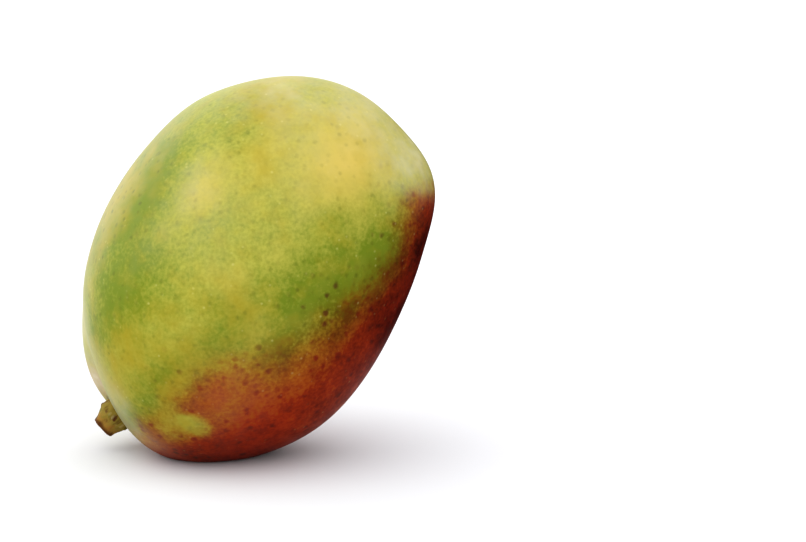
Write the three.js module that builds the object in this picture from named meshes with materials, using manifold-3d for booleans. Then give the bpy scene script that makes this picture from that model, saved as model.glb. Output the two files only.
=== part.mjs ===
// A whole mango with its cut stem stub, standing tilted on a small pressed flat spot.
// Millimetres, +Z up, the fruit's broad cheek facing -Y and its beak up to the right.

import * as THREE from 'three';
import { mergeVertices } from 'three/addons/utils/BufferGeometryUtils.js';
import ManifoldModule from 'manifold-3d';

// ---------------------------------------------------------------- driving dimensions

// The fruit in its own frame: +X from the stem to the beak end, +Z the back (dorsal) edge, Y across the cheeks.
const HALF_LENGTH = 61.1;
const HALF_HEIGHT = 45.5;
const HALF_THICKNESS = 42;
const THICKER_AT_STEM = 0.1; // share of the half thickness gained at the stem end and lost at the beak end
const THICKER_AT_BACK = 0.1; // share gained along the back edge and lost along the belly

// How it stands: the long axis leans up from the surface, and the flesh is pressed flat under it.
const LEAN_DEG = 58.1;
const CENTRE_ABOVE_REST = 54.6;

// Swellings (rise > 0) and hollows (rise < 0) on the egg shape. along is the angle from the beak end
// towards the back edge, cheek the angle out of that plane towards the far cheek, both in degrees.
// spread and spreadCheek are the widths of the form in those two directions, in degrees, and rise is in mm.
const FORMS = {
  beak: { along: -31.7, cheek: 0, rise: 3.5, spread: 10, spreadCheek: 20 },
  beakHollow: { along: -24, cheek: -22, rise: -1, spread: 13, spreadCheek: 8 },
  belly: { along: -77.3, cheek: 0, rise: -1.2, spread: 15.5, spreadCheek: 35 },
  apex: { along: 9.7, cheek: 0, rise: -1.6, spread: 22.7, spreadCheek: 30 },
  backEdge: { along: 50.6, cheek: 0, rise: 0.8, spread: 11, spreadCheek: 28 },
  neckHollow: { along: 150, cheek: 0, rise: -1.85, spread: 23.3, spreadCheek: 28 },
  bellyShoulder: { along: -126, cheek: 0, rise: 1, spread: 12.4, spreadCheek: 30 },
  bellyNeck: { along: 185, cheek: -10, rise: 0.5, spread: 12, spreadCheek: 20 },
  backNeck: { along: 125, cheek: 0, rise: 0.4, spread: 8, spreadCheek: 30 },
  farShoulder: { along: 161, cheek: 13, rise: 6.1, spread: 18.8, spreadCheek: 10 },
  nearShoulder: { along: 157, cheek: -13, rise: -1.1, spread: 9, spreadCheek: 10 },
  stemGroove: { along: 161, cheek: -1, rise: -3, spread: 12, spreadCheek: 5 },
  stemCavity: { along: 168.8, cheek: 1.5, rise: -2.4, spread: 6.5, spreadCheek: 6.5 },
};

// The stem stub: a tapered, slightly lobed peg, cut square, in a blind socket at the bottom of the stem cavity.
const STEM_ALONG_DEG = 168.8;
const STEM_CHEEK_DEG = 1.5;
const STEM_TIP_FROM_CENTRE = 65.8;
const STEM_LEAN_TO_NEAR_CHEEK_DEG = 8;
const STEM_LEAN_TO_BACK_DEG = 4;
const STEM_PLUG_RADIUS = 5.5;
const STEM_PLUG_DEPTH = 3.6;
const STEM_SHOULDER = 0.8; // how far the full plug radius reaches out over the cavity floor
const STEM_OUTLINE = [ // from the plug to the cut: depth below the cut, then radius
  { depth: 5.4, radius: 5.4 },
  { depth: 4, radius: 4.9 },
  { depth: 1.6, radius: 3.95 },
  { depth: 0.35, radius: 3.65 },
  { depth: 0, radius: 3.45 },
];
const STEM_LOBES = 5;
const STEM_LOBE_DEPTH = 0.04; // share of the radius
const SOCKET_GAP = 0.3;

// Mesh fineness.
const RINGS_ALONG = 52;
const STEPS_AROUND = 72;
const STEM_STEPS_AROUND = 40;

// ---------------------------------------------------------------- finishes

const skin = new THREE.MeshStandardMaterial({ color: 0xa9ad48, roughness: 0.38, metalness: 0 });
const bark = new THREE.MeshStandardMaterial({ color: 0x7d6a2a, roughness: 0.8, metalness: 0 });

// ---------------------------------------------------------------- the fruit's shape

const radians = THREE.MathUtils.degToRad;

/** The unit direction from the fruit's centre at an angle along its long section and one out of it. */
function direction(alongDeg, cheekDeg) {
  const along = radians(alongDeg);
  const cheek = radians(cheekDeg);
  return new THREE.Vector3(Math.cos(along) * Math.cos(cheek), Math.sin(cheek), Math.sin(along) * Math.cos(cheek));
}

/** What one swelling or hollow adds to the radius in direction n: a bell with two widths. */
function formRise(form, n) {
  const middle = direction(form.along, form.cheek);
  const facing = n.dot(middle);
  if (facing <= 0) return 0;
  const alongAxis = direction(form.along + 90, 0);
  const cheekAxis = middle.clone().cross(alongAxis);
  const offAlong = n.dot(alongAxis) / facing / Math.tan(radians(form.spread));
  const offCheek = n.dot(cheekAxis) / facing / Math.tan(radians(form.spreadCheek));
  return form.rise * Math.exp(-0.5 * (offAlong ** 2 + offCheek ** 2));
}

/** The distance from the fruit's centre to its skin in direction n. */
function skinRadius(n) {
  const halfThickness = HALF_THICKNESS * (1 - THICKER_AT_STEM * n.x + THICKER_AT_BACK * n.z);
  const egg = 1 / Math.hypot(n.x / HALF_LENGTH, n.z / HALF_HEIGHT, n.y / halfThickness);
  return Object.values(FORMS).reduce((radius, form) => radius + formRise(form, n), egg);
}

/** The closed skin as a mesh of rings from the beak end to the stem end. */
function skinGeometry() {
  const geometry = new THREE.SphereGeometry(1, STEPS_AROUND, RINGS_ALONG);
  geometry.rotateZ(-Math.PI / 2);
  const position = geometry.getAttribute('position');
  const n = new THREE.Vector3();
  for (let i = 0; i < position.count; i += 1) {
    n.fromBufferAttribute(position, i).normalize();
    n.multiplyScalar(skinRadius(n));
    position.setXYZ(i, n.x, n.y, n.z);
  }
  return geometry;
}

// ---------------------------------------------------------------- the stem's shape

/** The stub turned from its profile, then pressed into shallow lobes. It points along +Y, with its cut at y = 0. */
function stemGeometry(plugBottom) {
  const profile = [
    new THREE.Vector2(0, plugBottom),
    new THREE.Vector2(STEM_PLUG_RADIUS, plugBottom),
    new THREE.Vector2(STEM_PLUG_RADIUS, plugBottom + STEM_PLUG_DEPTH + STEM_SHOULDER),
    ...STEM_OUTLINE.map(({ depth, radius }) => new THREE.Vector2(radius, -depth)),
    new THREE.Vector2(0, 0),
  ];
  const geometry = new THREE.LatheGeometry(profile, STEM_STEPS_AROUND);
  const position = geometry.getAttribute('position');
  for (let i = 0; i < position.count; i += 1) {
    const around = Math.atan2(position.getZ(i), position.getX(i));
    const lobe = 1 - STEM_LOBE_DEPTH * Math.cos(STEM_LOBES * around / 2) ** 2;
    position.setX(i, position.getX(i) * lobe);
    position.setZ(i, position.getZ(i) * lobe);
  }
  return geometry;
}

/** Where the stub's tip is, and the turn that takes +Y to the way the stub points. */
function stemPose() {
  const outward = direction(STEM_ALONG_DEG, STEM_CHEEK_DEG);
  const tip = outward.clone().multiplyScalar(STEM_TIP_FROM_CENTRE);
  const pointing = direction(STEM_ALONG_DEG - STEM_LEAN_TO_BACK_DEG, STEM_CHEEK_DEG - STEM_LEAN_TO_NEAR_CHEEK_DEG);
  const turn = new THREE.Quaternion().setFromUnitVectors(new THREE.Vector3(0, 1, 0), pointing);
  return { tip, turn };
}

// ---------------------------------------------------------------- solids

const manifold = await ManifoldModule();
manifold.setup();

/** A manifold solid from a closed three.js geometry. */
function toSolid(geometry) {
  const bare = new THREE.BufferGeometry();
  bare.setAttribute('position', geometry.getAttribute('position'));
  bare.setIndex(geometry.getIndex());
  const welded = mergeVertices(bare, 1e-4);
  const corners = Array.from(welded.getIndex().array);
  const faces = [];
  for (let i = 0; i < corners.length; i += 3) {
    const [a, b, c] = corners.slice(i, i + 3);
    if (a !== b && b !== c && c !== a) faces.push(a, b, c);
  }
  return new manifold.Manifold(new manifold.Mesh({
    numProp: 3,
    vertProperties: new Float32Array(welded.getAttribute('position').array),
    triVerts: new Uint32Array(faces),
  }));
}

/** A three.js geometry from a manifold solid. */
function toGeometry(solid) {
  const mesh = solid.getMesh();
  const geometry = new THREE.BufferGeometry();
  geometry.setAttribute('position', new THREE.Float32BufferAttribute(mesh.vertProperties, 3));
  geometry.setIndex(Array.from(mesh.triVerts));
  geometry.computeVertexNormals();
  return geometry;
}

/** The fruit: its skin shape, pressed flat where it stands, with the stem's blind socket. */
function makeFruit() {
  const up = [Math.sin(radians(LEAN_DEG)), 0, Math.cos(radians(LEAN_DEG))];
  const pressed = toSolid(skinGeometry()).trimByPlane(up, -CENTRE_ABOVE_REST);
  const { tip, turn } = stemPose();
  const socketRadius = STEM_PLUG_RADIUS + SOCKET_GAP;
  const socketBottom = stemPlugBottom() - SOCKET_GAP;
  const socket = new THREE.CylinderGeometry(socketRadius, socketRadius, -socketBottom, STEM_STEPS_AROUND);
  socket.translate(0, socketBottom / 2, 0);
  socket.applyQuaternion(turn);
  socket.translate(tip.x, tip.y, tip.z);
  const fruit = new THREE.Mesh(toGeometry(pressed.subtract(toSolid(socket))), skin);
  fruit.name = 'mango_fruit';
  return fruit;
}

/** How far below its tip the stub ends: under the floor of the stem cavity by the plug's depth. */
function stemPlugBottom() {
  const cavityFloor = skinRadius(direction(STEM_ALONG_DEG, STEM_CHEEK_DEG));
  return cavityFloor - STEM_TIP_FROM_CENTRE - STEM_PLUG_DEPTH;
}

/** The stem stub in its socket. */
function makeStem() {
  const { tip, turn } = stemPose();
  const stem = new THREE.Mesh(toGeometry(toSolid(stemGeometry(stemPlugBottom()))), bark);
  stem.name = 'stem_stub';
  stem.position.copy(tip);
  stem.quaternion.copy(turn);
  return stem;
}

// ---------------------------------------------------------------- assembly

const leaning = new THREE.Group();
leaning.add(makeFruit(), makeStem());
leaning.rotation.y = -radians(LEAN_DEG);
leaning.position.z = CENTRE_ABOVE_REST;

// The origin is under the middle of the whole mango's box.
const mango = new THREE.Group();
mango.add(leaning);
mango.updateMatrixWorld(true);
const middle = new THREE.Box3().setFromObject(mango, true).getCenter(new THREE.Vector3());
leaning.position.x = -middle.x;
leaning.position.y = -middle.y;

export default mango;
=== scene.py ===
"""A whole mango on a pale floor: the fruit's skin and its cut stem stub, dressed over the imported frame.

The scene is in metres in the frame's own axes. The fruit's shape is worked out in its own frame, in
millimetres: +X from the stem to the beak end, +Z the back edge, +Y the far cheek.
"""

import logging
import math
from collections.abc import Sequence
from dataclasses import dataclass
from enum import Enum
from functools import cached_property
from typing import Self

import bpy
import numpy as np
from mathutils import Matrix, Vector, noise


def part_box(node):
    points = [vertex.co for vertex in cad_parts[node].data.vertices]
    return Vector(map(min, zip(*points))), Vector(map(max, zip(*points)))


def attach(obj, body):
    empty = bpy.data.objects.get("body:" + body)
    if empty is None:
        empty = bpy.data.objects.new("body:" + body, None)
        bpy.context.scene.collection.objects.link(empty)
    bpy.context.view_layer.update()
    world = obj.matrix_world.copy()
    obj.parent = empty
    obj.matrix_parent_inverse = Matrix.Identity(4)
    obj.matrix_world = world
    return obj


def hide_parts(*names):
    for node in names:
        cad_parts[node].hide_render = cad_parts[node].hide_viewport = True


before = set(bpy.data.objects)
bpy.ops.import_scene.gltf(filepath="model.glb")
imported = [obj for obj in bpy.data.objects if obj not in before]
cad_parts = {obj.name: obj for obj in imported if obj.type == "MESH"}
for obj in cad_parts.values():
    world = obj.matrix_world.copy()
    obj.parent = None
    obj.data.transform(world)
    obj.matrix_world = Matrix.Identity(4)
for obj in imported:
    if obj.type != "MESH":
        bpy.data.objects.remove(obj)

LOG = logging.getLogger("mango")
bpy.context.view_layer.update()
MM = 0.001

Array = np.ndarray
Material = bpy.types.Material
Node = bpy.types.Node
Piece = bpy.types.Object
Socket = bpy.types.NodeSocket
Tree = bpy.types.NodeTree

# Where a colour mix takes its share and its two colours and gives its result, and where a plain one does.
SHARE_IN, UNDER_IN, OVER_IN, COLOUR_OUT = 0, 6, 7, 2
PLAIN_UNDER_IN, PLAIN_OVER_IN, PLAIN_OUT = 2, 3, 0

# The sockets that carry three numbers at once.
THREEFOLD = ("VECTOR", "RGBA")

# ---- helpers


def linear(hex_colour: str) -> tuple[float, float, float, float]:
    """Turns an sRGB hex colour into linear light, by the curve of the sRGB standard.

    Args:
        hex_colour: Six hex digits with a leading hash.

    Returns:
        Red, green, blue and an alpha of 1.
    """
    shares = [int(hex_colour[i : i + 2], 16) / 255 for i in (1, 3, 5)]
    lit = [s / 12.92 if s <= 0.04045 else ((s + 0.055) / 1.055) ** 2.4 for s in shares]
    return (lit[0], lit[1], lit[2], 1.0)


def per_metre(size_mm: float) -> float:
    """The texture scale that makes one cell of a pattern size_mm wide."""
    return 1000.0 / size_mm


def smooth_step(low: float, high: float, value: Array) -> Array:
    """Rises smoothly from 0 at low to 1 at high."""
    t = np.clip((value - low) / (high - low), 0.0, 1.0)
    return t * t * (3.0 - 2.0 * t)


@dataclass(frozen=True)
class Signal:
    """A value, a colour or a place on its way through a material, which adds and multiplies like a number."""

    tree: Tree
    socket: Socket

    def __add__(self, other: Self | Vector | float) -> Self:
        """This and another together."""
        return self.reckoned("ADD", other)

    def __mul__(self, other: Self | Vector | float) -> Self:
        """This times another."""
        return self.reckoned("MULTIPLY", other)

    def reckoned(self, operation: str, other: Self | Vector | float) -> Self:
        """Takes one step of arithmetic, with three numbers at once where either side is a colour or a place.

        Args:
            operation: Its name.
            other: What stands on its right-hand side.

        Returns:
            The result.
        """
        threefold = isinstance(other, Vector) or self.socket.type in THREEFOLD
        kind = "ShaderNodeVectorMath" if threefold else "ShaderNodeMath"
        step = add_node(self.tree, kind, {0: self, 1: other}, operation=operation)
        return Signal(self.tree, step.outputs[0])

    def held(self) -> Self:
        """This value, held between 0 and 1."""
        return Signal(self.tree, add_node(self.tree, "ShaderNodeClamp", {"Value": self}).outputs[0])

    def rise(self, low: float, high: float) -> Self:
        """Rises smoothly from 0 where this value is low to 1 where it is high.

        Args:
            low: The value that gives 0.
            high: The value that gives 1, which may be the smaller of the two.

        Returns:
            The risen value.
        """
        links = {"Value": self, "From Min": low, "From Max": high}
        risen = add_node(self.tree, "ShaderNodeMapRange", links, interpolation_type="SMOOTHSTEP")
        return Signal(self.tree, risen.outputs[0])

    def coated(self, colour: str, share: Self) -> Self:
        """Lays a plain colour over this one.

        Args:
            colour: The sRGB hex colour on top.
            share: How much of it shows, held between 0 and 1.

        Returns:
            The colour that the eye gets.
        """
        links = {SHARE_IN: share, UNDER_IN: self, OVER_IN: linear(colour)}
        mixed = add_node(self.tree, "ShaderNodeMix", links, data_type="RGBA")
        return Signal(self.tree, mixed.outputs[COLOUR_OUT])


def add_node(tree: Tree, kind: str, links: dict[str | int, object] | None = None, **settings: object) -> Node:
    """Adds one shader node.

    Args:
        tree: The material's node tree.
        kind: The node's type name.
        links: What feeds each input, by input name or index: a signal, an output socket or a plain value.
        settings: The node's own properties.

    Returns:
        The new node.
    """
    node = tree.nodes.new(kind)
    for name, value in settings.items():
        setattr(node, name, value)
    for key, value in (links or {}).items():
        source = value.socket if isinstance(value, Signal) else value
        if isinstance(source, Socket):
            tree.links.new(source, node.inputs[key])
        else:
            node.inputs[key].default_value = source
    return node


def mesh_object(name: str, points: Array, faces: Sequence[Sequence[int]]) -> Piece:
    """Makes a smooth-shaded mesh object.

    Args:
        name: The object's name.
        points: Its corners, in metres.
        faces: Corner numbers of each face, counter-clockwise from outside.

    Returns:
        The object, linked to the scene.
    """
    mesh = bpy.data.meshes.new(name)
    mesh.from_pydata(points.tolist(), [], faces)
    mesh.shade_smooth()
    mesh.update()
    piece = bpy.data.objects.new(name, mesh)
    bpy.context.scene.collection.objects.link(piece)
    return piece


def write_field(piece: Piece, name: str, values: Array) -> None:
    """Keeps a number or a place for each corner of the mesh, for the material to read by name."""
    kind, part = ("FLOAT", "value") if values.ndim == 1 else ("FLOAT_VECTOR", "vector")
    piece.data.attributes.new(name, kind, "POINT").data.foreach_set(part, values.astype(np.float32).ravel())


def blank_material(name: str) -> tuple[Material, Tree, Node]:
    """Makes a material that has only its shader.

    Args:
        name: The material's name.

    Returns:
        The material, its node tree and its shader.
    """
    material = bpy.data.materials.new(name)
    material.use_nodes = True
    return material, material.node_tree, material.node_tree.nodes["Principled BSDF"]


# ---- the fruit's form


def direction(along: float, cheek: float) -> Array:
    """The unit direction from the fruit's centre.

    Args:
        along: Degrees from the beak end towards the back edge.
        cheek: Degrees out of that plane towards the far cheek.

    Returns:
        The direction in the fruit's frame.
    """
    a = math.radians(along)
    c = math.radians(cheek)
    return np.array((math.cos(a) * math.cos(c), math.sin(c), math.sin(a) * math.cos(c)))


# Keeps a form from dividing by nothing at right angles to its middle.
LEAST_FACING = 1e-6


@dataclass(frozen=True)
class Form:
    """A swelling or hollow of the skin: its place and its two widths in degrees, and its rise in mm."""

    along: float
    cheek: float
    rise: float
    spread: float
    spread_cheek: float

    def rise_at(self, n: Array) -> Array:
        """What this form adds to the fruit's radius.

        Args:
            n: Unit directions from the fruit's centre.

        Returns:
            The height of the form in each direction, in mm.
        """
        middle = direction(self.along, self.cheek)
        along_axis = direction(self.along + 90, 0)
        cheek_axis = np.cross(middle, along_axis)
        facing = n @ middle
        safe = np.maximum(facing, LEAST_FACING)
        off_along = (n @ along_axis) / safe / math.tan(math.radians(self.spread))
        off_cheek = (n @ cheek_axis) / safe / math.tan(math.radians(self.spread_cheek))
        return np.where(facing > 0, self.rise * np.exp(-0.5 * (off_along**2 + off_cheek**2)), 0.0)


FORMS = {
    "beak": Form(-31.7, 0, 3.5, 10, 20),
    "beak hollow": Form(-24, -22, -1, 13, 8),
    "belly": Form(-77.3, 0, -1.2, 15.5, 35),
    "apex": Form(9.7, 0, -1.6, 22.7, 30),
    "back edge": Form(50.6, 0, 0.8, 11, 28),
    "neck hollow": Form(150, 0, -1.85, 23.3, 28),
    "belly shoulder": Form(-126, 0, 1, 12.4, 30),
    "belly neck": Form(185, -10, 0.5, 12, 20),
    "back neck": Form(125, 0, 0.4, 8, 30),
    "far shoulder": Form(161, 13, 6.1, 18.8, 10),
    "near shoulder": Form(157, -13, -1.1, 9, 10),
    "stem groove": Form(161, -1, -3, 12, 5),
    "stem cavity": Form(168.8, 1.5, -2.4, 6.5, 6.5),
}

# ---- where the colours lie

# How far, in mm, a patch of one cheek fades out across the fruit's edge on to the other.
SIDE_BLEND = 8.0


class Side(Enum):
    """The cheek that a patch of colour lies on."""

    NEAR = -1
    FAR = 1
    BOTH = 0


@dataclass(frozen=True)
class Patch:
    """A patch of pigment, seen square on to the cheek: place and size in mm, turn in degrees.

    An edge of 1 fades like a bell, and more makes a flatter patch with a crisper edge.
    """

    x: float
    z: float
    strength: float
    length: float
    width: float
    turn: float = 0.0
    side: Side = Side.NEAR
    edge: float = 1.0

    def amount(self, points: Array) -> Array:
        """How much of the patch each point of the skin takes.

        Args:
            points: Places on the skin, in mm.

        Returns:
            The amounts, up to the patch's strength.
        """
        t = math.radians(self.turn)
        dx = points[:, 0] - self.x
        dz = points[:, 2] - self.z
        u = (dx * math.cos(t) + dz * math.sin(t)) / self.length
        v = (dz * math.cos(t) - dx * math.sin(t)) / self.width
        bell = self.strength * np.exp(-0.5 * (u**2 + v**2) ** self.edge)
        if self.side is Side.BOTH:
            return bell
        return bell * smooth_step(-SIDE_BLEND, SIDE_BLEND, points[:, 1] * self.side.value)


class Pigment(Enum):
    """What colours the skin, and paints highlight and shade on it. The value names the mesh field that holds
    its amount.
    """

    GREEN = "leaf_green"
    GOLD = "ripe_gold"
    OCHRE = "dull_ochre"
    BLUSH = "red_blush"
    # Wax bloom, partly painted highlight and painted reflection.
    BLOOM = "wax_bloom_and_highlight"
    SPECKLE = "brown_speckle"
    # Painted shade in the crease round the stem.
    STEM_SHADE = "stem_crease_shade"


PATCHES = {
    Pigment.GREEN: (
        Patch(-20, 27, 0.65, 10, 5.5, -8),
        Patch(-36, 26, 0.4, 6, 4, 25),
        # Darker green along the top rim: partly the skin's own colour and partly painted shade.
        Patch(1, 43, 1.2, 15, 6, 0, Side.BOTH),
        Patch(-4, 30, 0.22, 16, 5),
        Patch(-8, 1, 0.25, 5, 4),
        Patch(8, 6, -0.12, 5, 7),
        # Darker green near the top rim: partly the skin's own colour and partly painted shade.
        Patch(14, 38, 0.3, 10, 6, 0, Side.BOTH),
        Patch(37, 25, 0.3, 7, 4),
        Patch(-53, 9, 0.5, 4, 5, 60),
        Patch(-41, 8, 0.5, 6, 3.5),
        Patch(-31, 6, 0.45, 4, 3),
        Patch(-21, 0, 0.25, 7, 4),
        Patch(-8, -4, 0.35, 8, 4),
        Patch(-12, -15, 0.4, 5, 4),
        Patch(-4, -18, 0.6, 8, 4),
        Patch(6, -13, 0.45, 7, 5),
        Patch(17, -20, 0.5, 9, 7),
        Patch(29, -23, 0.2, 7, 5),
        Patch(14, -29, 0.7, 10, 5),
        Patch(32, -31, 0.5, 10, 5),
        Patch(-29, -21, -0.3, 16, 9),
        Patch(10, 20, 0.4, 22, 9, 12, Side.FAR),
        Patch(-24, 8, 0.5, 10, 12, 0, Side.FAR),
    ),
    Pigment.GOLD: (
        Patch(41, -6, 0.9, 7, 8),
        Patch(36, 15, 0.4, 8, 5),
        Patch(27, 8, 0.1, 9, 7),
        Patch(19, 22.5, 0.5, 6, 3.2),
        Patch(51, -4, 0.45, 6, 12, 0, Side.BOTH),
        Patch(1, 5, 0.3, 4, 4),
        Patch(-24, -14, 0.25, 9, 6),
        Patch(-35, -28, 0.35, 11, 6),
        Patch(34, -2, 0.6, 12, 11, 0, Side.FAR),
        Patch(-5, -4, 0.4, 9, 6, 30, Side.FAR),
    ),
    Pigment.OCHRE: (
        Patch(-32, 17, 0.55, 7, 5),
        Patch(-46, 14, 0.5, 4, 4),
        Patch(-10, 4, 0.25, 13, 8, -35),
        Patch(-2, -6, 0.25, 6, 5),
        Patch(-28, 2, 0.4, 5, 3),
        Patch(-38, 2, 0.4, 6, 2.5),
        Patch(-43, -6, 0.45, 4, 6),
        Patch(-20, -6, 0.2, 5, 2.5, -35),
        Patch(33, 14, 0.2, 7, 5),
        Patch(-14, -16, 0.2, 7, 4),
        Patch(42, -26, 0.2, 7, 2.5),
        # Dull ochre along the top rim: partly the skin's own colour and partly painted shade.
        Patch(-2, 44, 0.7, 20, 4.5, 0, Side.BOTH),
        Patch(47, 23, 0.55, 7, 6),
        Patch(-42, 24, 0.3, 6, 4),
        Patch(-38, -8, 0.5, 12, 8, 0, Side.FAR),
    ),
    Pigment.BLUSH: (
        Patch(-31, -6.5, 0.36, 7, 4.5, -10, edge=2.0),
        Patch(-48, 0.5, 0.22, 4, 3),
        Patch(-20, -9, 0.16, 4, 4),
        Patch(-41.2, -8.9, -0.55, 2.7, 4.5, 8, edge=2.5),
        Patch(-45.5, -3.5, -0.32, 3.6, 3.6, edge=1.5),
        Patch(-24, -17, 0.1, 6, 5),
        Patch(-49, -24, 0.25, 9, 7),
        # Deeper maroon along the lower right edge: partly the skin's own colour and partly painted shade.
        Patch(16, -44, 0.5, 15, 4.5, 0, Side.BOTH),
        Patch(34, -37, 0.3, 7, 3, 0, Side.BOTH),
        Patch(45, -30, 0.2, 4, 2.5),
        Patch(-53, 21, 0.48, 7, 4, -50, Side.FAR),
        Patch(0, -12, 0.5, 16, 7, -20, Side.FAR),
    ),
    # Pale wax bloom, partly real and partly painted highlight and painted reflection: the pale rims at the
    # top, the left and the beak end, the pale strip beside the stem and the pale patches high on the near
    # cheek.
    Pigment.BLOOM: (
        Patch(10, 18, 0.22, 10, 7),
        Patch(0, 30, 0.15, 12, 4),
        Patch(19, 27, 0.3, 7, 3.5),
        Patch(51, -22, 0.8, 5.5, 6, 0, Side.BOTH),
        Patch(57, -2, 0.6, 5, 12, 0, Side.BOTH),
        Patch(36, 1, 0.15, 14, 6),
        Patch(-55, -1, 0.3, 3, 5),
        Patch(-28, -12, 0.09, 14, 9),
        Patch(26, 40, 0.25, 12, 4, 0, Side.BOTH),
        Patch(42, 30, 0.4, 9, 5, -38, Side.BOTH),
        Patch(-12, 45, 0.4, 20, 4, 0, Side.BOTH),
        Patch(-38, 37, 1.3, 14, 3.8, 33, Side.BOTH),
        Patch(52, 20, 0.5, 5, 10, -40, Side.BOTH),
        Patch(-54, 8, 0.35, 3, 6, -30),
        Patch(-49.5, 15.5, 0.45, 10, 3, 57),
        Patch(-53, 21, 1.4, 8, 4, -50, Side.FAR),
    ),
    Pigment.SPECKLE: (
        Patch(7, -20, 1.2, 8, 6, edge=1.5),
        Patch(-11, -17, 0.7, 8, 5),
        Patch(-29, -9, 0.35, 9, 6),
        Patch(-50, -3, 0.5, 6, 6),
        Patch(-29, 6, 0.45, 8, 4),
        Patch(32, -25, 0.7, 7, 4),
        Patch(41, -20, 0.5, 7, 4),
    ),
    # Painted shade: a dark line where the near shoulder meets the stem.
    Pigment.STEM_SHADE: (Patch(-54.5, 10, 0.7, 6, 1.6, 58),),
}

# Where the red blush begins and where it is full, seen square on to the cheek: x and two heights z, in mm.
BLUSH_BOUNDS = (
    (-60, 10, -5), (-52, 8, -8), (-44, 4, -15), (-36, 3, -21),
    (-28, 3, -27), (-20, -3, -30), (-12, -9, -33), (-4, -15.5, -34),
    (4, -18, -35), (12, -21.5, -36), (20, -25.2, -38), (28, -27.8, -37.5),
    (36, -24.5, -35), (44, -24.5, -34), (50, -29.5, -40.5), (60, -35, -48),
)
BLUSH_EDGE_ROUNDING = 0.03
DEEPEST_BLUSH = 1.06

# The leaf green that lies everywhere, and the share of brown speckles that comes with the blush.
GREEN_EVERYWHERE = 0.3
SPECKLE_OF_BLUSH = 0.38

# The painted shade in the crease round the stem is full inside the first radius and gone past the second, in
# mm.
CREASE_SHADE_RADII = (5.4, 7.4)

# How the patches' edges are stirred: the size of the swirls and how far they shift the colour, in mm.
STIR_BROAD = 8.0
STIR_BROAD_BY = 1.6
STIR_FINE = 2.6
STIR_FINE_BY = 0.8

# Which swirls those are, so that they come out the same every time.
STIR_SEED = 3


@dataclass(frozen=True)
class StemSeat:
    """Where the stem stub sits: the place of its cut in degrees and mm, and its lean in degrees."""

    along: float = 168.8
    cheek: float = 1.5
    tip_from_centre: float = 65.8
    lean_to_near_cheek: float = 8.0
    lean_to_back: float = 4.0
    reach_behind_cut: float = 25.0
    out_of_reach: float = 1000.0

    def tip(self) -> Array:
        """The middle of the stem's cut, in the fruit's frame, in mm."""
        return direction(self.along, self.cheek) * self.tip_from_centre

    def axis(self) -> Array:
        """The way the stem points, out of the fruit."""
        return direction(self.along - self.lean_to_back, self.cheek - self.lean_to_near_cheek)

    def distance(self, points: Array) -> Array:
        """How far each point lies from the stem's middle line.

        Args:
            points: Places in the fruit's frame, in mm.

        Returns:
            Distances in mm, with points far behind the cut out of reach.
        """
        offset = points - self.tip()
        along = offset @ self.axis()
        aside = np.linalg.norm(offset - along[:, None] * self.axis(), axis=1)
        return np.where(along > -self.reach_behind_cut, aside, self.out_of_reach)


STEM_SEAT = StemSeat()


def blush_depth(points: Array) -> Array:
    """How far each point lies inside the blushed side.

    Args:
        points: Places on the skin, in mm.

    Returns:
        0 outside it, 1 where the red is full, and no more than the deepest blush.
    """
    x, start, full = zip(*BLUSH_BOUNDS)
    start_here = np.interp(points[:, 0], x, start)
    full_here = np.interp(points[:, 0], x, full)
    depth = (start_here - points[:, 2]) / (start_here - full_here)
    return np.clip(0.5 * (depth + np.sqrt(depth**2 + BLUSH_EDGE_ROUNDING)), 0.0, DEEPEST_BLUSH)


def stirred(points: Array) -> Array:
    """Shifts each point a little, so that the edges of the patches come out uneven.

    Args:
        points: Places on the skin, in mm.

    Returns:
        The shifted places.
    """
    noise.seed_set(STIR_SEED)
    broad = np.array([noise.noise_vector(Vector(p) / STIR_BROAD) for p in points])
    fine = np.array([noise.noise_vector(Vector(p) / STIR_FINE) for p in points])
    return points + broad * STIR_BROAD_BY + fine * STIR_FINE_BY


def pigment_field(pigment: Pigment, points: Array) -> Array:
    """The amount of one pigment at each point of the skin.

    Args:
        pigment: Which one.
        points: Places on the skin, in mm.

    Returns:
        The amounts, where 1 is a full covering.
    """
    amount = np.full(len(points), GREEN_EVERYWHERE if pigment is Pigment.GREEN else 0.0)
    if pigment is Pigment.BLUSH:
        amount += blush_depth(points)
    if pigment is Pigment.SPECKLE:
        amount += SPECKLE_OF_BLUSH * blush_depth(points)
    # The painted shade in the crease round the stem.
    if pigment is Pigment.STEM_SHADE:
        amount += 1.0 - smooth_step(*CREASE_SHADE_RADII, STEM_SEAT.distance(points))
    for patch in PATCHES[pigment]:
        amount += patch.amount(points)
    return amount


# ---- the skin's finish

# The value that cloudy noise sways about.
NOISE_MIDDLE = 0.5


@dataclass(frozen=True)
class Clouds:
    """Soft cloudy variation: the size of its blots in mm, and how much finer detail it holds."""

    size: float
    detail: float

    def amount(self, place: Signal) -> Signal:
        """The variation at each place.

        Args:
            place: The surface's coordinates, in metres.

        Returns:
            A value that sways about 0.
        """
        links = {"Vector": place, "Scale": per_metre(self.size), "Detail": self.detail}
        texture = add_node(place.tree, "ShaderNodeTexNoise", links)
        return Signal(place.tree, texture.outputs["Fac"]) + -NOISE_MIDDLE


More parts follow.
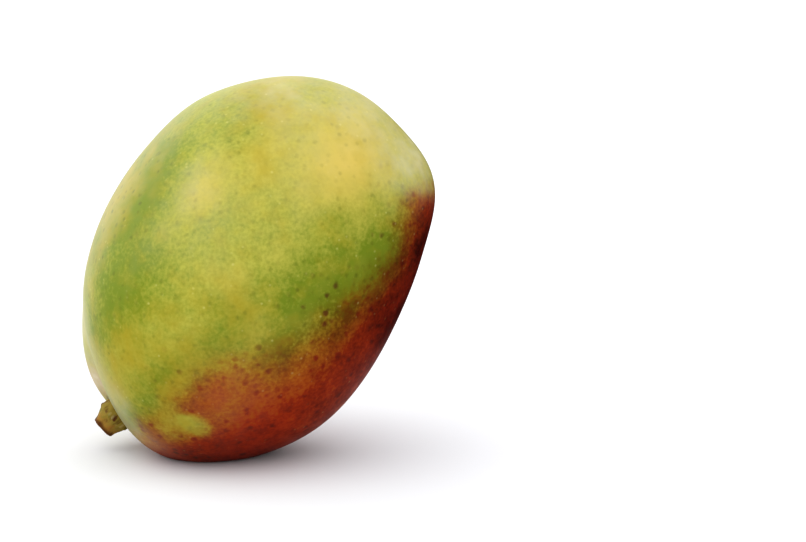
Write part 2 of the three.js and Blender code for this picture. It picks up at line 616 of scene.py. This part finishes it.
@dataclass(frozen=True)
class Dots:
    """Scattered soft dots: their spacing and width in mm, the share of places left bare and their strength.

    A dot is full inside one share of its radius and gone past another. The shift moves the pattern.
    """

    spacing: float
    size: float
    bare: float
    strength: float
    shift: tuple[float, float, float]
    full_inside: float = 0.3
    gone_past: float = 1.7

    def amount(self, place: Signal) -> Signal:
        """How much of a dot lies at each place.

        Args:
            place: The surface's coordinates, in metres.

        Returns:
            A value from 0 between the dots to the strength in the middle of the strongest ones.
        """
        tree = place.tree
        moved = place + Vector(self.shift)
        cells = add_node(tree, "ShaderNodeTexVoronoi", {"Vector": moved, "Scale": per_metre(self.spacing)})
        radius = self.size / 2 / self.spacing
        away = Signal(tree, cells.outputs["Distance"])
        near = away.rise(radius * self.gone_past, radius * self.full_inside)
        chance = add_node(tree, "ShaderNodeSeparateColor", {"Color": cells.outputs["Color"]}).outputs[0]
        links = {"Value": chance, "From Min": self.bare, "From Max": 1.0, "To Max": self.strength}
        return near * Signal(tree, add_node(tree, "ShaderNodeMapRange", links).outputs[0])


@dataclass(frozen=True)
class SkinPatterns:
    """What the skin's colours and relief share: coordinates, patterns and the amount of each pigment."""

    place: Signal
    stirred: Signal
    clouds: Signal
    mottling: Signal
    grain: Signal
    lenticels: Signal
    spots: Signal
    pigments: dict[Pigment, Signal]


@dataclass(frozen=True)
class MangoSkin:
    """Ripe mango skin: a thin waxy cuticle over green and gold flesh, with a red blush that filters it.

    To the eye it is soft satin, with clear colours at different depths and a pale bloom on the high rims,
    which is partly painted highlight and painted reflection. Painted shade also darkens, in part, the top rim
    and the lower right edge, and the crease round the stem.
    """

    yellow_green: str = "#a2a144"
    deep_green: str = "#6c7c1f"
    gold: str = "#c2ad56"
    ochre: str = "#9c8b24"
    # The pale wax of the bloom, which also serves as painted highlight and painted reflection.
    pale_wax_and_highlight: str = "#d2cab0"
    freckle: str = "#4d5512"
    lenticel: str = "#dcd48c"
    # The dark olive of the painted shade round the stem.
    brown: str = "#4a2413"
    crease_shade: str = "#55502f"
    blush_stops: tuple[tuple[float, str], ...] = (
        (0.0, "#ffffff"),
        (0.12, "#f6dcbc"),
        (0.27, "#eeae7c"),
        (0.42, "#e67e52"),
        (0.6, "#da4923"),
        (0.72, "#c43817"),
        (0.95, "#8a1500"),
    )

    # The cloudy variations and the scattered dots, and how the places of some dots are stirred.
    clouds: Clouds = Clouds(11.0, 2.0)
    tint: Clouds = Clouds(6.0, 3.0)
    mottling: Clouds = Clouds(4.0, 3.0)
    grain: Clouds = Clouds(1.0, 2.0)
    peel: Clouds = Clouds(0.9, 1.0)
    freckles: Dots = Dots(2.3, 1.2, 0.2, 0.4, (0.0, 0.0, 0.0))
    lenticels: Dots = Dots(2.6, 0.65, 0.3, 0.6, (0.11, 0.2, 0.4))
    spots: Dots = Dots(3.1, 1.6, 0.25, 1.3, (0.31, 0.07, 0.12))
    stir_mm: float = 1.3
    stir_by_mm: float = 0.9

    # How much each variation sways each colour.
    green_by_clouds: float = 0.5
    green_by_mottling: float = 0.9
    gold_by_clouds: float = -0.5
    ochre_by_tint: float = 1.3
    red_by_mottling: float = 0.45
    red_by_clouds: float = 0.35
    red_by_grain: float = 0.35
    red_by_spots: float = 0.3
    bloom_and_highlight_by_mottling: float = 2.0

    # How much of each covering shows, how the blush's amount meets its colours, and where it turns uneven.
    freckle_share: float = 0.35
    freckle_share_of_green: float = 0.8
    speckle_share: float = 0.7
    lenticel_share: float = 0.4
    lenticel_share_of_blush: float = -0.2
    bloom_and_highlight_share: float = 0.4
    crease_shade_share: float = 0.75
    blush_scale: float = 0.6
    blush_uneven_from: float = 0.05
    blush_uneven_past: float = 0.35

    # The sheen of the wax, and the skin's fine relief.
    index_of_refraction: float = 1.45
    specular_level: float = 0.07
    roughness: float = 0.36
    rough_by_blush: float = 0.12
    rough_by_mottling: float = 0.15
    rough_by_bloom_and_highlight: float = 0.1
    relief_mm: float = 0.03
    relief_of_peel: float = 0.35
    relief_of_spots: float = -0.5

    def material(self) -> Material:
        """Builds the node tree.

        Returns:
            The material.
        """
        skin, tree, shader = blank_material("waxed_mango_skin")
        patterns = self.patterns(tree)
        # Wax bloom, partly painted highlight and painted reflection.
        bloom_and_highlight = patterns.pigments[Pigment.BLOOM] * (patterns.mottling * self.bloom_and_highlight_by_mottling + 1.0)
        colour = self.flesh(patterns)
        colour = self.freckled(colour, patterns)
        colour = self.blushed(colour, patterns)
        colour = self.covered(colour, patterns, bloom_and_highlight)
        tree.links.new(colour.socket, shader.inputs["Base Color"])
        self.gloss(shader, patterns, bloom_and_highlight)
        self.relief(shader, patterns)
        return skin

    def patterns(self, tree: Tree) -> SkinPatterns:
        """Sets up what the colours and the relief share.

        Args:
            tree: The material's node tree.

        Returns:
            The patterns.
        """
        place = Signal(tree, add_node(tree, "ShaderNodeTexCoord").outputs["Object"])
        moved = self.stirred(place)
        pigments = {}
        for pigment in Pigment:
            amount = add_node(tree, "ShaderNodeAttribute", attribute_name=pigment.value)
            pigments[pigment] = Signal(tree, amount.outputs["Fac"])
        return SkinPatterns(
            place=place,
            stirred=moved,
            clouds=self.clouds.amount(place),
            mottling=self.mottling.amount(place),
            grain=self.grain.amount(place),
            lenticels=self.lenticels.amount(place),
            spots=self.spots.amount(moved),
            pigments=pigments,
        )

    def stirred(self, place: Signal) -> Signal:
        """Stirs the skin's coordinates a little, so that dots come out uneven.

        Args:
            place: The skin's coordinates, in metres.

        Returns:
            The stirred coordinates.
        """
        links = {"Vector": place, "Scale": per_metre(self.stir_mm)}
        swirl = Signal(place.tree, add_node(place.tree, "ShaderNodeTexNoise", links).outputs["Color"])
        aside = swirl + Vector((-NOISE_MIDDLE,) * 3)
        return aside * Vector((self.stir_by_mm * MM,) * 3) + place

    def flesh(self, patterns: SkinPatterns) -> Signal:
        """The green and gold under the blush.

        Args:
            patterns: The skin's shared patterns.

        Returns:
            The colour.
        """
        tree = patterns.place.tree
        plain = add_node(tree, "ShaderNodeRGB").outputs[0]
        plain.default_value = linear(self.yellow_green)
        green = patterns.pigments[Pigment.GREEN] + patterns.clouds * self.green_by_clouds
        green = green + patterns.mottling * self.green_by_mottling + patterns.grain
        gold = patterns.pigments[Pigment.GOLD] + patterns.clouds * self.gold_by_clouds
        ochre = patterns.pigments[Pigment.OCHRE] + self.tint.amount(patterns.place) * self.ochre_by_tint
        body = Signal(tree, plain).coated(self.deep_green, green)
        return body.coated(self.gold, gold).coated(self.ochre, ochre)

    def freckled(self, under: Signal, patterns: SkinPatterns) -> Signal:
        """Soft dark freckles, stronger where the skin is green, and thinned out in places.

        Args:
            under: The colour without them.
            patterns: The skin's shared patterns.

        Returns:
            The colour with them.
        """
        strength = patterns.pigments[Pigment.GREEN] * self.freckle_share_of_green + self.freckle_share
        share = self.freckles.amount(patterns.stirred) * (strength + patterns.mottling)
        return under.coated(self.freckle, share)

    def blushed(self, under: Signal, patterns: SkinPatterns) -> Signal:
        """Lays red pigment over the flesh as a filter: orange over gold, brown over green, then red, maroon.

        Args:
            under: The colour without it.
            patterns: The skin's shared patterns.

        Returns:
            The filtered colour.
        """
        tree = under.tree
        depth = patterns.pigments[Pigment.BLUSH]
        links = {"Value": depth, "From Min": self.blush_uneven_from, "From Max": self.blush_uneven_past}
        inside = Signal(tree, add_node(tree, "ShaderNodeMapRange", links).outputs[0])
        uneven = patterns.mottling * self.red_by_mottling + patterns.clouds * self.red_by_clouds
        uneven = uneven + patterns.grain * self.red_by_grain + patterns.spots * self.red_by_spots
        depth = (depth + uneven * inside) * self.blush_scale
        ramp = add_node(tree, "ShaderNodeValToRGB", {"Fac": depth})
        stops = ramp.color_ramp.elements
        while len(stops) < len(self.blush_stops):
            stops.new(1.0)
        for stop, (position, colour) in zip(stops, self.blush_stops):
            stop.position = position
            stop.color = linear(colour)
        links = {SHARE_IN: 1.0, UNDER_IN: under, OVER_IN: ramp.outputs["Color"]}
        filtered = add_node(tree, "ShaderNodeMix", links, data_type="RGBA", blend_type="MULTIPLY")
        return Signal(tree, filtered.outputs[COLOUR_OUT])

    def covered(self, under: Signal, patterns: SkinPatterns, bloom_and_highlight: Signal) -> Signal:
        """Lays over it brown speckles, pale lenticels, wax bloom with painted highlight, and painted shade
        round the stem.

        Args:
            under: The colour without them.
            patterns: The skin's shared patterns.
            bloom_and_highlight: The amount of wax bloom, with painted highlight and painted reflection.

        Returns:
            The colour with them.
        """
        speckles = (patterns.pigments[Pigment.SPECKLE] * patterns.spots).held()
        colour = under.coated(self.brown, speckles * self.speckle_share)
        bright = patterns.pigments[Pigment.BLUSH] * self.lenticel_share_of_blush + self.lenticel_share
        colour = colour.coated(self.lenticel, patterns.lenticels * bright)
        # Pale bloom, partly painted highlight and painted reflection on the rims and the beak.
        colour = colour.coated(self.pale_wax_and_highlight, bloom_and_highlight * self.bloom_and_highlight_share)
        # Painted shade in the crease round the stem.
        return colour.coated(self.crease_shade, patterns.pigments[Pigment.STEM_SHADE] * self.crease_shade_share)

    def gloss(self, shader: Node, patterns: SkinPatterns, bloom_and_highlight: Signal) -> None:
        """Gives a satin wax sheen that dulls where the bloom and the painted highlight lie.

        Args:
            shader: The node that takes the sheen.
            patterns: The skin's shared patterns.
            bloom_and_highlight: The amount of wax bloom, with painted highlight and painted reflection.
        """
        rough = patterns.mottling * self.rough_by_mottling + bloom_and_highlight * self.rough_by_bloom_and_highlight
        rough = rough + patterns.pigments[Pigment.BLUSH] * self.rough_by_blush + self.roughness
        rough.tree.links.new(rough.socket, shader.inputs["Roughness"])
        shader.inputs["IOR"].default_value = self.index_of_refraction
        shader.inputs["Specular IOR Level"].default_value = self.specular_level

    def relief(self, shader: Node, patterns: SkinPatterns) -> None:
        """Raises the lenticels by a few hundredths of a millimetre over a fine orange-peel grain.

        Args:
            shader: The node that takes the relief.
            patterns: The skin's shared patterns.
        """
        peel = self.peel.amount(patterns.place) * self.relief_of_peel
        height = peel + patterns.lenticels + patterns.spots * self.relief_of_spots
        links = {"Height": height, "Strength": 1.0, "Distance": self.relief_mm * MM}
        bump = add_node(height.tree, "ShaderNodeBump", links)
        height.tree.links.new(bump.outputs["Normal"], shader.inputs["Normal"])


@dataclass
class Fruit:
    """The mango's one grown body: an egg shape with forms on it, pressed flat where it stands, in mm."""

    half_length: float = 61.1
    half_height: float = 45.5
    half_thickness: float = 42.0
    thicker_at_stem: float = 0.1
    thicker_at_back: float = 0.1
    lean: float = 58.1
    centre_above_rest: float = 54.6
    press_rounding: float = 0.25
    press_reach: float = 4.0
    rings: int = 300
    steps: int = 320
    swell_height: float = 0.12
    swell_size: float = 17.0
    swell_sunk: float = 0.65

    def radius(self, n: Array) -> Array:
        """The distance from the centre to the skin.

        Args:
            n: Unit directions from the fruit's centre.

        Returns:
            The distance in each direction, in mm.
        """
        x, y, z = n.T
        thickness = self.half_thickness * (1 - self.thicker_at_stem * x + self.thicker_at_back * z)
        egg = 1.0 / np.sqrt((x / self.half_length) ** 2 + (z / self.half_height) ** 2 + (y / thickness) ** 2)
        return egg + sum(form.rise_at(n) for form in FORMS.values())

    def leaned(self, points: Array) -> Array:
        """Takes points of the fruit's frame, in mm, to the lean it stands at, in metres from its centre."""
        return points @ np.array(Matrix.Rotation(-math.radians(self.lean), 3, "Y")).T * MM

    def stand(self, points: Array) -> Array:
        """Takes points of the fruit's frame, in mm, to where they stand in the frame, in metres."""
        return self.leaned(points) + np.array(self.centre)

    @cached_property
    def centre(self) -> Vector:
        """The fruit's centre in the frame: the middle of its box is the CAD node's.

        Returns:
            The place, in metres.
        """
        low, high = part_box("mango_fruit")
        leaned = self.leaned(self.points)
        middle = (leaned.min(axis=0) + leaned.max(axis=0)) / 2
        x = (low[0] + high[0]) / 2 - middle[0]
        y = (low[1] + high[1]) / 2 - middle[1]
        return Vector((x, y, self.centre_above_rest * MM))

    @cached_property
    def points(self) -> Array:
        """Every corner of the skin in the fruit's frame, in mm."""
        return self.pressed(self.skin_points(self.grid_directions()))

    def grid_directions(self) -> Array:
        """Spreads the skin's rings from the beak end's pole to the stem end's.

        Returns:
            The unit direction of every corner.
        """
        across = np.pi * np.arange(1, self.rings) / self.rings
        around = 2 * np.pi * np.arange(self.steps) / self.steps
        a, b = np.meshgrid(across, around, indexing="ij")
        rows = np.stack((np.cos(a), np.sin(a) * np.cos(b), np.sin(a) * np.sin(b)), axis=-1).reshape(-1, 3)
        return np.vstack(((1.0, 0.0, 0.0), rows, (-1.0, 0.0, 0.0)))

    def grid_faces(self) -> list[tuple[int, ...]]:
        """Joins the rings with four-sided faces, and each pole with a fan.

        Returns:
            The corner numbers of each face.
        """
        steps = self.steps
        last = 1 + (self.rings - 1) * steps
        faces: list[tuple[int, ...]] = []
        for j in range(steps):
            k = (j + 1) % steps
            faces.append((0, 1 + j, 1 + k))
            faces.append((last, last - steps + k, last - steps + j))
        for i in range(self.rings - 2):
            row = 1 + i * steps
            for j in range(steps):
                k = (j + 1) % steps
                faces.append((row + j, row + steps + j, row + steps + k, row + k))
        return faces

    def skin_points(self, n: Array) -> Array:
        """Shapes the skin, with the slight unevenness of grown flesh.

        Args:
            n: Unit directions from the fruit's centre.

        Returns:
            The skin's points, in mm.
        """
        points = n * self.radius(n)[:, None]
        uneven = np.array([noise.noise(Vector(p) / self.swell_size) for p in points])
        return points + n * (self.swell_height * (uneven - self.swell_sunk))[:, None]

    def pressed(self, points: Array) -> Array:
        """Presses the skin flat where it stands, with a small rounding at the edge of the flat.

        Args:
            points: The skin's points, in mm.

        Returns:
            The pressed points.
        """
        lean = math.radians(self.lean)
        up = np.array((math.sin(lean), 0.0, math.cos(lean)))
        over = points @ up + self.centre_above_rest
        kept = 0.5 * (over + np.sqrt(over**2 + self.press_rounding**2))
        return points + up * (kept - over)[:, None] * (over < self.press_reach)[:, None]

    def build(self, finish: MangoSkin) -> Piece:
        """Makes the skin's mesh, stood up, with the pigment fields that its finish reads.

        Args:
            finish: Its skin.

        Returns:
            The fruit.
        """
        piece = mesh_object("mango_skin", self.stand(self.points), self.grid_faces())
        places = stirred(self.points)
        for pigment in Pigment:
            write_field(piece, pigment.value, pigment_field(pigment, places))
        piece.data.materials.append(finish.material())
        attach(piece, "root")
        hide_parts("mango_fruit")
        return piece


# ---- the stem


@dataclass(frozen=True)
class StemBark:
    """Dried mango stem: green bark going brown, with a dark, split cut that shows a ring of pale wood.

    To the eye it is dull and rough, streaked along its length, and darkest round the cut.
    """

    olive: str = "#85732e"
    tan: str = "#98612a"
    moss: str = "#5f6020"
    dark: str = "#4a2409"
    pale: str = "#c9bc84"
    wood: str = "#c2ab90"
    streaks: Clouds = Clouds(1.3, 3.0)
    blotches: Clouds = Clouds(3.0, 2.0)
    flecks: Dots = Dots(1.5, 0.8, 0.35, 1.0, (0.2, 0.1, 0.3))

    # Where each colour begins and where it is full, by its pattern or by the depth below the cut in mm.
    tan_in_blotches: tuple[float, float] = (0.0, 0.25)
    moss_in_streaks: tuple[float, float] = (0.05, 0.3)
    dark_in_both: tuple[float, float] = (-0.04, -0.3)
    rust_depth: tuple[float, float] = (4.2, 1.4)
    collar_depth: tuple[float, float] = (2.6, 4.6)
    rim_depth: tuple[float, float] = (1.9, 0.8)

    # How far the blotches shift the rust and the dark rim, in mm, and how much of each covering shows.
    rust_shift: float = 4.0
    rim_shift: float = 3.0
    rust_share: float = 0.4
    fleck_share: float = 0.45
    rim_share: float = 0.85

    roughness: float = 0.7
    specular_level: float = 0.12
    relief_mm: float = 0.25
    relief_of_blotches: float = 0.6

    def material(self) -> Material:
        """Builds the node tree.

        Returns:
            The material.
        """
        bark, tree, shader = blank_material("dried_stem_bark")
        along_bark = add_node(tree, "ShaderNodeAttribute", attribute_name=StemStub.GRAIN)
        below_cut = add_node(tree, "ShaderNodeAttribute", attribute_name=StemStub.DEPTH)
        bare_wood = add_node(tree, "ShaderNodeAttribute", attribute_name=StemStub.WOOD)
        plain = add_node(tree, "ShaderNodeRGB").outputs[0]
        plain.default_value = linear(self.olive)
        place = Signal(tree, along_bark.outputs["Vector"])
        depth = Signal(tree, below_cut.outputs["Fac"])
        streaks = self.streaks.amount(place)
        blotches = self.blotches.amount(place)
        rust = (depth + blotches * self.rust_shift).rise(*self.rust_depth)
        collar = self.flecks.amount(place) * depth.rise(*self.collar_depth)
        rim = (depth + blotches * self.rim_shift).rise(*self.rim_depth)
        colour = Signal(tree, plain).coated(self.tan, blotches.rise(*self.tan_in_blotches))
        colour = colour.coated(self.tan, rust * self.rust_share)
        colour = colour.coated(self.moss, streaks.rise(*self.moss_in_streaks))
        colour = colour.coated(self.dark, (streaks + blotches).rise(*self.dark_in_both))
        colour = colour.coated(self.pale, collar * self.fleck_share)
        colour = colour.coated(self.dark, rim * self.rim_share)
        colour = colour.coated(self.wood, Signal(tree, bare_wood.outputs["Fac"]))
        tree.links.new(colour.socket, shader.inputs["Base Color"])
        shader.inputs["Roughness"].default_value = self.roughness
        shader.inputs["Specular IOR Level"].default_value = self.specular_level
        height = streaks + blotches * self.relief_of_blotches
        links = {"Height": height, "Strength": 1.0, "Distance": self.relief_mm * MM}
        bump = add_node(tree, "ShaderNodeBump", links)
        tree.links.new(bump.outputs["Normal"], shader.inputs["Normal"])
        return bark


@dataclass
class StemStub:
    """The stub of the stem: ridged bark over a swollen collar, cut square, with a sunken cut face."""

    DEPTH = "below_cut"
    WOOD = "bare_wood"
    GRAIN = "bark_grain"

    # From the buried end to the middle of the cut: depth below the cut, then radius, in mm.
    outline: tuple[tuple[float, float], ...] = (
        (11.0, 4.6), (7.0, 5.2), (5.6, 5.3), (4.7, 5.15), (4.2, 4.75), (3.0, 4.4),
        (1.6, 3.9), (0.6, 3.68), (0.15, 3.5), (0.05, 3.3), (0.12, 3.0), (0.45, 2.75),
        (0.5, 2.2), (0.4, 1.6), (0.45, 0.8), (0.7, 0.45), (0.75, 0.0),
    )
    rings: int = 130
    steps: int = 140
    full_radius: float = 4.5

    # The bark's forms: their heights in mm, and how close they lie round the stem and along it.
    ridge: float = 0.16
    ridges_around: float = 3.2
    ridges_along: float = 0.25
    lump: float = 0.3
    lumps_around: float = 0.9
    lumps_along: float = 0.35
    lumps_from: float = 7.0
    collar_step: float = 0.25
    collar_around: float = 1.6
    collar_from: float = 21.0
    collar_band: tuple[float, float] = (4.2, 5.4)
    sunk: float = 0.12

    # The splits in the cut's rim: how deep they are, half how many there are, and where they lie.
    split: float = 0.12
    splits_around: float = 2.5
    split_outside: float = 2.4
    split_above: float = 0.6

    # The ring of bare wood: its radius and width in mm, how deep the cut reaches, and its strength.
    wood_radius: float = 2.55
    wood_width: float = 0.3
    cut_depth: float = 0.9
    wood_strength: float = 0.9

    # The share of the stem's length that the bark's pattern sees, which draws it out into streaks.
    grain_stretch: float = 0.35

    def local_rings(self) -> Array:
        """Turns the outline into rings, each ridged and lumped like bark.

        Returns:
            Every ring's corners: x and y across the stem and z out of the cut, in mm.
        """
        outline = np.array(self.outline)
        length = np.concatenate(((0.0,), np.cumsum(np.linalg.norm(np.diff(outline, axis=0), axis=1))))
        at = np.linspace(0.0, length[-1], self.rings)
        depth = np.interp(at, length, outline[:, 0])
        radius = np.interp(at, length, outline[:, 1])
        around = 2 * np.pi * np.arange(self.steps) / self.steps
        rows = []
        for d, r in zip(depth, radius):
            uneven = np.array([self.unevenness(a, d) for a in around])
            reach = r * (1 + uneven / self.full_radius)
            on_rim = (r > self.split_outside) * (d < self.split_above)
            sink = d + self.split * np.abs(np.sin(around * self.splits_around)) * on_rim
            rows.append(np.stack((reach * np.cos(around), reach * np.sin(around), -sink), axis=-1))
        return np.array(rows)

    def unevenness(self, around: float, depth: float) -> float:
        """How far the bark stands out on a stem of full width.

        Args:
            around: The angle round the stem, in radians.
            depth: The depth below the cut, in mm.

        Returns:
            The height, in mm.
        """
        x = math.cos(around)
        y = math.sin(around)
        ridge_at = Vector((self.ridges_around * x, self.ridges_around * y, self.ridges_along * depth))
        along_lumps = self.lumps_along * depth + self.lumps_from
        lump_at = Vector((self.lumps_around * x, self.lumps_around * y, along_lumps))
        step_at = Vector((self.collar_around * x, self.collar_around * y, self.collar_from))
        low, high = self.collar_band
        step = self.collar_step * max(0.0, noise.noise(step_at)) * (low < depth < high)
        return noise.noise(ridge_at) * self.ridge + noise.noise(lump_at) * self.lump - self.sunk + step

    def build(self, fruit: Fruit, finish: StemBark) -> Piece:
        """Makes the stub's mesh where it stands, with the fields that its finish reads.

        Args:
            fruit: The body it grows from.
            finish: Its bark.

        Returns:
            The stub.
        """
        count = (self.rings - 1) * self.steps
        local = self.local_rings().reshape(-1, 3)[:count]
        out = STEM_SEAT.axis()
        side = np.cross(out, (0.0, 0.0, 1.0))
        side /= np.linalg.norm(side)
        points = STEM_SEAT.tip() + local @ np.stack((side, np.cross(out, side), out))
        piece = mesh_object("mango_stem_stub", fruit.stand(points), self.faces())
        width = np.linalg.norm(local[:, :2], axis=1)
        depth = -local[:, 2]
        ring = np.exp(-(((width - self.wood_radius) / self.wood_width) ** 2))
        write_field(piece, self.DEPTH, depth)
        write_field(piece, self.WOOD, ring * (depth < self.cut_depth) * self.wood_strength)
        write_field(piece, self.GRAIN, local * (MM, MM, self.grain_stretch * MM))
        piece.data.materials.append(finish.material())
        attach(piece, "root")
        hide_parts("stem_stub")
        return piece

    def faces(self) -> list[tuple[int, ...]]:
        """Joins the rings with four-sided faces, and closes both ends with one face each.

        Returns:
            The corner numbers of each face.
        """
        faces: list[tuple[int, ...]] = []
        for i in range(self.rings - 2):
            row = i * self.steps
            for j in range(self.steps):
                k = (j + 1) % self.steps
                faces.append((row + j, row + k, row + self.steps + k, row + self.steps + j))
        last = (self.rings - 2) * self.steps
        faces.append(tuple(last + j for j in range(self.steps)))
        faces.append(tuple(reversed(range(self.steps))))
        return faces


# ---- the studio


@dataclass(frozen=True)
class PlainFinish:
    """A surface of one even colour, with no pattern of its own."""

    name: str
    colour: str
    roughness: float
    specular_level: float

    def material(self) -> Material:
        """Builds the node tree.

        Returns:
            The material.
        """
        finish, _, shader = blank_material(self.name)
        shader.inputs["Base Color"].default_value = linear(self.colour)
        shader.inputs["Roughness"].default_value = self.roughness
        shader.inputs["Specular IOR Level"].default_value = self.specular_level
        return finish


# Uncoated white paper off the roll: it scatters the light evenly, so the floor has soft shadows and no sheen.
WHITE_PAPER = PlainFinish("matt_white_paper", "#d7d8db", 0.9, 0.1)

# Pressed black wool felt: its loose fibres swallow the light, so that nothing shines back from it.
BLACK_FELT = PlainFinish("black_felt", "#050505", 1.0, 0.0)


@dataclass
class Studio:
    """A white sweep under one broad soft light from high in front. Sizes are in mm and angles in degrees."""

    lens: float = 100.0
    sensor: float = 36.0
    distance: float = 650.0
    elevation: float = 9.0
    aim_right_of_fruit: float = 43.65
    aim_below_fruit: float = 0.84
    floor_half_metres: float = 12.0
    surround: str = "#ffffff"
    bright_side: tuple[float, float, float] = (-0.5, 0.6, 0.65)
    dim_below: float = 0.0
    full_above: float = 0.75
    dim_light: float = 0.85
    full_light: float = 1.3
    light_to_camera: float = 1.0
    key_from: tuple[float, float, float] = (-0.18, -0.6, 0.78)
    key_angle: float = 90.0
    key_power: float = 1.25
    rim_from: tuple[float, float, float] = (-0.8, 0.6, 0.3)
    rim_angle: float = 50.0
    rim_power: float = 0.7
    flag_right: float = 66.0
    flag_reach: tuple[float, float] = (-60.0, 160.0)
    flag_heights: tuple[float, float] = (4.0, 125.0)

    def build(self, fruit_centre: Vector) -> None:
        """Places the camera, the floor, the flag, the sky and the lights.

        Args:
            fruit_centre: The middle of the fruit, in metres.
        """
        self.camera(fruit_centre)
        self.floor()
        self.flag()
        self.sky()
        self.lights()
        bpy.context.scene.view_settings.view_transform = "Standard"
        bpy.context.scene.view_settings.look = "Medium High Contrast"

    def camera(self, fruit_centre: Vector) -> None:
        """Sets a long lens a little above the fruit, with the fruit left of the middle.

        Args:
            fruit_centre: The middle of the fruit, in metres.
        """
        data = bpy.data.cameras.new("camera")
        data.lens = self.lens
        data.sensor_width = self.sensor
        camera = bpy.data.objects.new("camera", data)
        bpy.context.scene.collection.objects.link(camera)
        rise = math.radians(self.elevation)
        back = Vector((0.0, -math.cos(rise), math.sin(rise)))
        up = Vector((0.0, math.sin(rise), math.cos(rise)))
        aim = fruit_centre + Vector((self.aim_right_of_fruit * MM, 0, 0)) - up * self.aim_below_fruit * MM
        camera.location = aim + back * self.distance * MM
        camera.rotation_euler = (math.pi / 2 - rise, 0.0, 0.0)
        bpy.context.scene.camera = camera

    def floor(self) -> None:
        """Lays a matt white sweep that reaches past the view."""
        h = self.floor_half_metres
        corners = np.array(((-h, -h, 0), (h, -h, 0), (h, h, 0), (-h, h, 0)))
        floor = mesh_object("floor", corners, [(0, 1, 2, 3)])
        floor.data.materials.append(WHITE_PAPER.material())

    def flag(self) -> None:
        """Hangs a black card right of the fruit, which takes the floor's glare out of the right edge."""
        x = self.flag_right * MM
        near, far = (y * MM for y in self.flag_reach)
        low, high = (z * MM for z in self.flag_heights)
        corners = np.array(((x, near, low), (x, far, low), (x, far, high), (x, near, high)))
        card = mesh_object("black_flag", corners, [(0, 1, 2, 3)])
        card.data.materials.append(BLACK_FELT.material())
        card.visible_camera = False
        card.visible_diffuse = False
        card.visible_shadow = False

    def sky(self) -> None:
        """Puts up a bright wall and ceiling, with a dimmer room in front that keeps the colours deep."""
        world = bpy.data.worlds.new("white_surround")
        world.use_nodes = True
        tree = world.node_tree
        way = add_node(tree, "ShaderNodeTexCoord").outputs["Generated"]
        links = {0: way, 1: Vector(self.bright_side).normalized()}
        towards = add_node(tree, "ShaderNodeVectorMath", links, operation="DOT_PRODUCT").outputs["Value"]
        bright = Signal(tree, towards).rise(self.dim_below, self.full_above)
        light = bright * (self.full_light - self.dim_light) + self.dim_light
        seen = add_node(tree, "ShaderNodeLightPath").outputs["Is Camera Ray"]
        links = {SHARE_IN: seen, PLAIN_UNDER_IN: light, PLAIN_OVER_IN: self.light_to_camera}
        strength = add_node(tree, "ShaderNodeMix", links).outputs[PLAIN_OUT]
        sky = tree.nodes["Background"]
        sky.inputs["Color"].default_value = linear(self.surround)
        tree.links.new(strength, sky.inputs["Strength"])
        bpy.context.scene.world = world

    def lights(self) -> None:
        """Adds a very broad soft light from high in front, and a weaker one for the left rim from behind."""
        self.sun("broad_light", self.key_from, self.key_angle, self.key_power)
        self.sun("rim_light", self.rim_from, self.rim_angle, self.rim_power)

    def sun(self, name: str, come_from: tuple[float, float, float], angle: float, power: float) -> None:
        """Adds one far soft light.

        Args:
            name: Its name.
            come_from: The way it comes from.
            angle: How wide it looks from the fruit, in degrees.
            power: Its strength.
        """
        data = bpy.data.lights.new(name, "SUN")
        data.angle = math.radians(angle)
        data.energy = power
        lamp = bpy.data.objects.new(name, data)
        lamp.rotation_euler = Vector(come_from).to_track_quat("Z", "Y").to_euler()
        bpy.context.scene.collection.objects.link(lamp)


def main() -> None:
    """Builds the mango and the studio."""
    fruit = Fruit()
    skin = fruit.build(MangoSkin())
    LOG.info("fruit: %d corners", len(skin.data.vertices))
    stub = StemStub().build(fruit, StemBark())
    LOG.info("stem stub: %d corners", len(stub.data.vertices))
    Studio().build(fruit.centre)
    LOG.info("studio built")


if __name__ == "__main__":
    logging.basicConfig(level=logging.INFO, format="%(message)s")
    main()
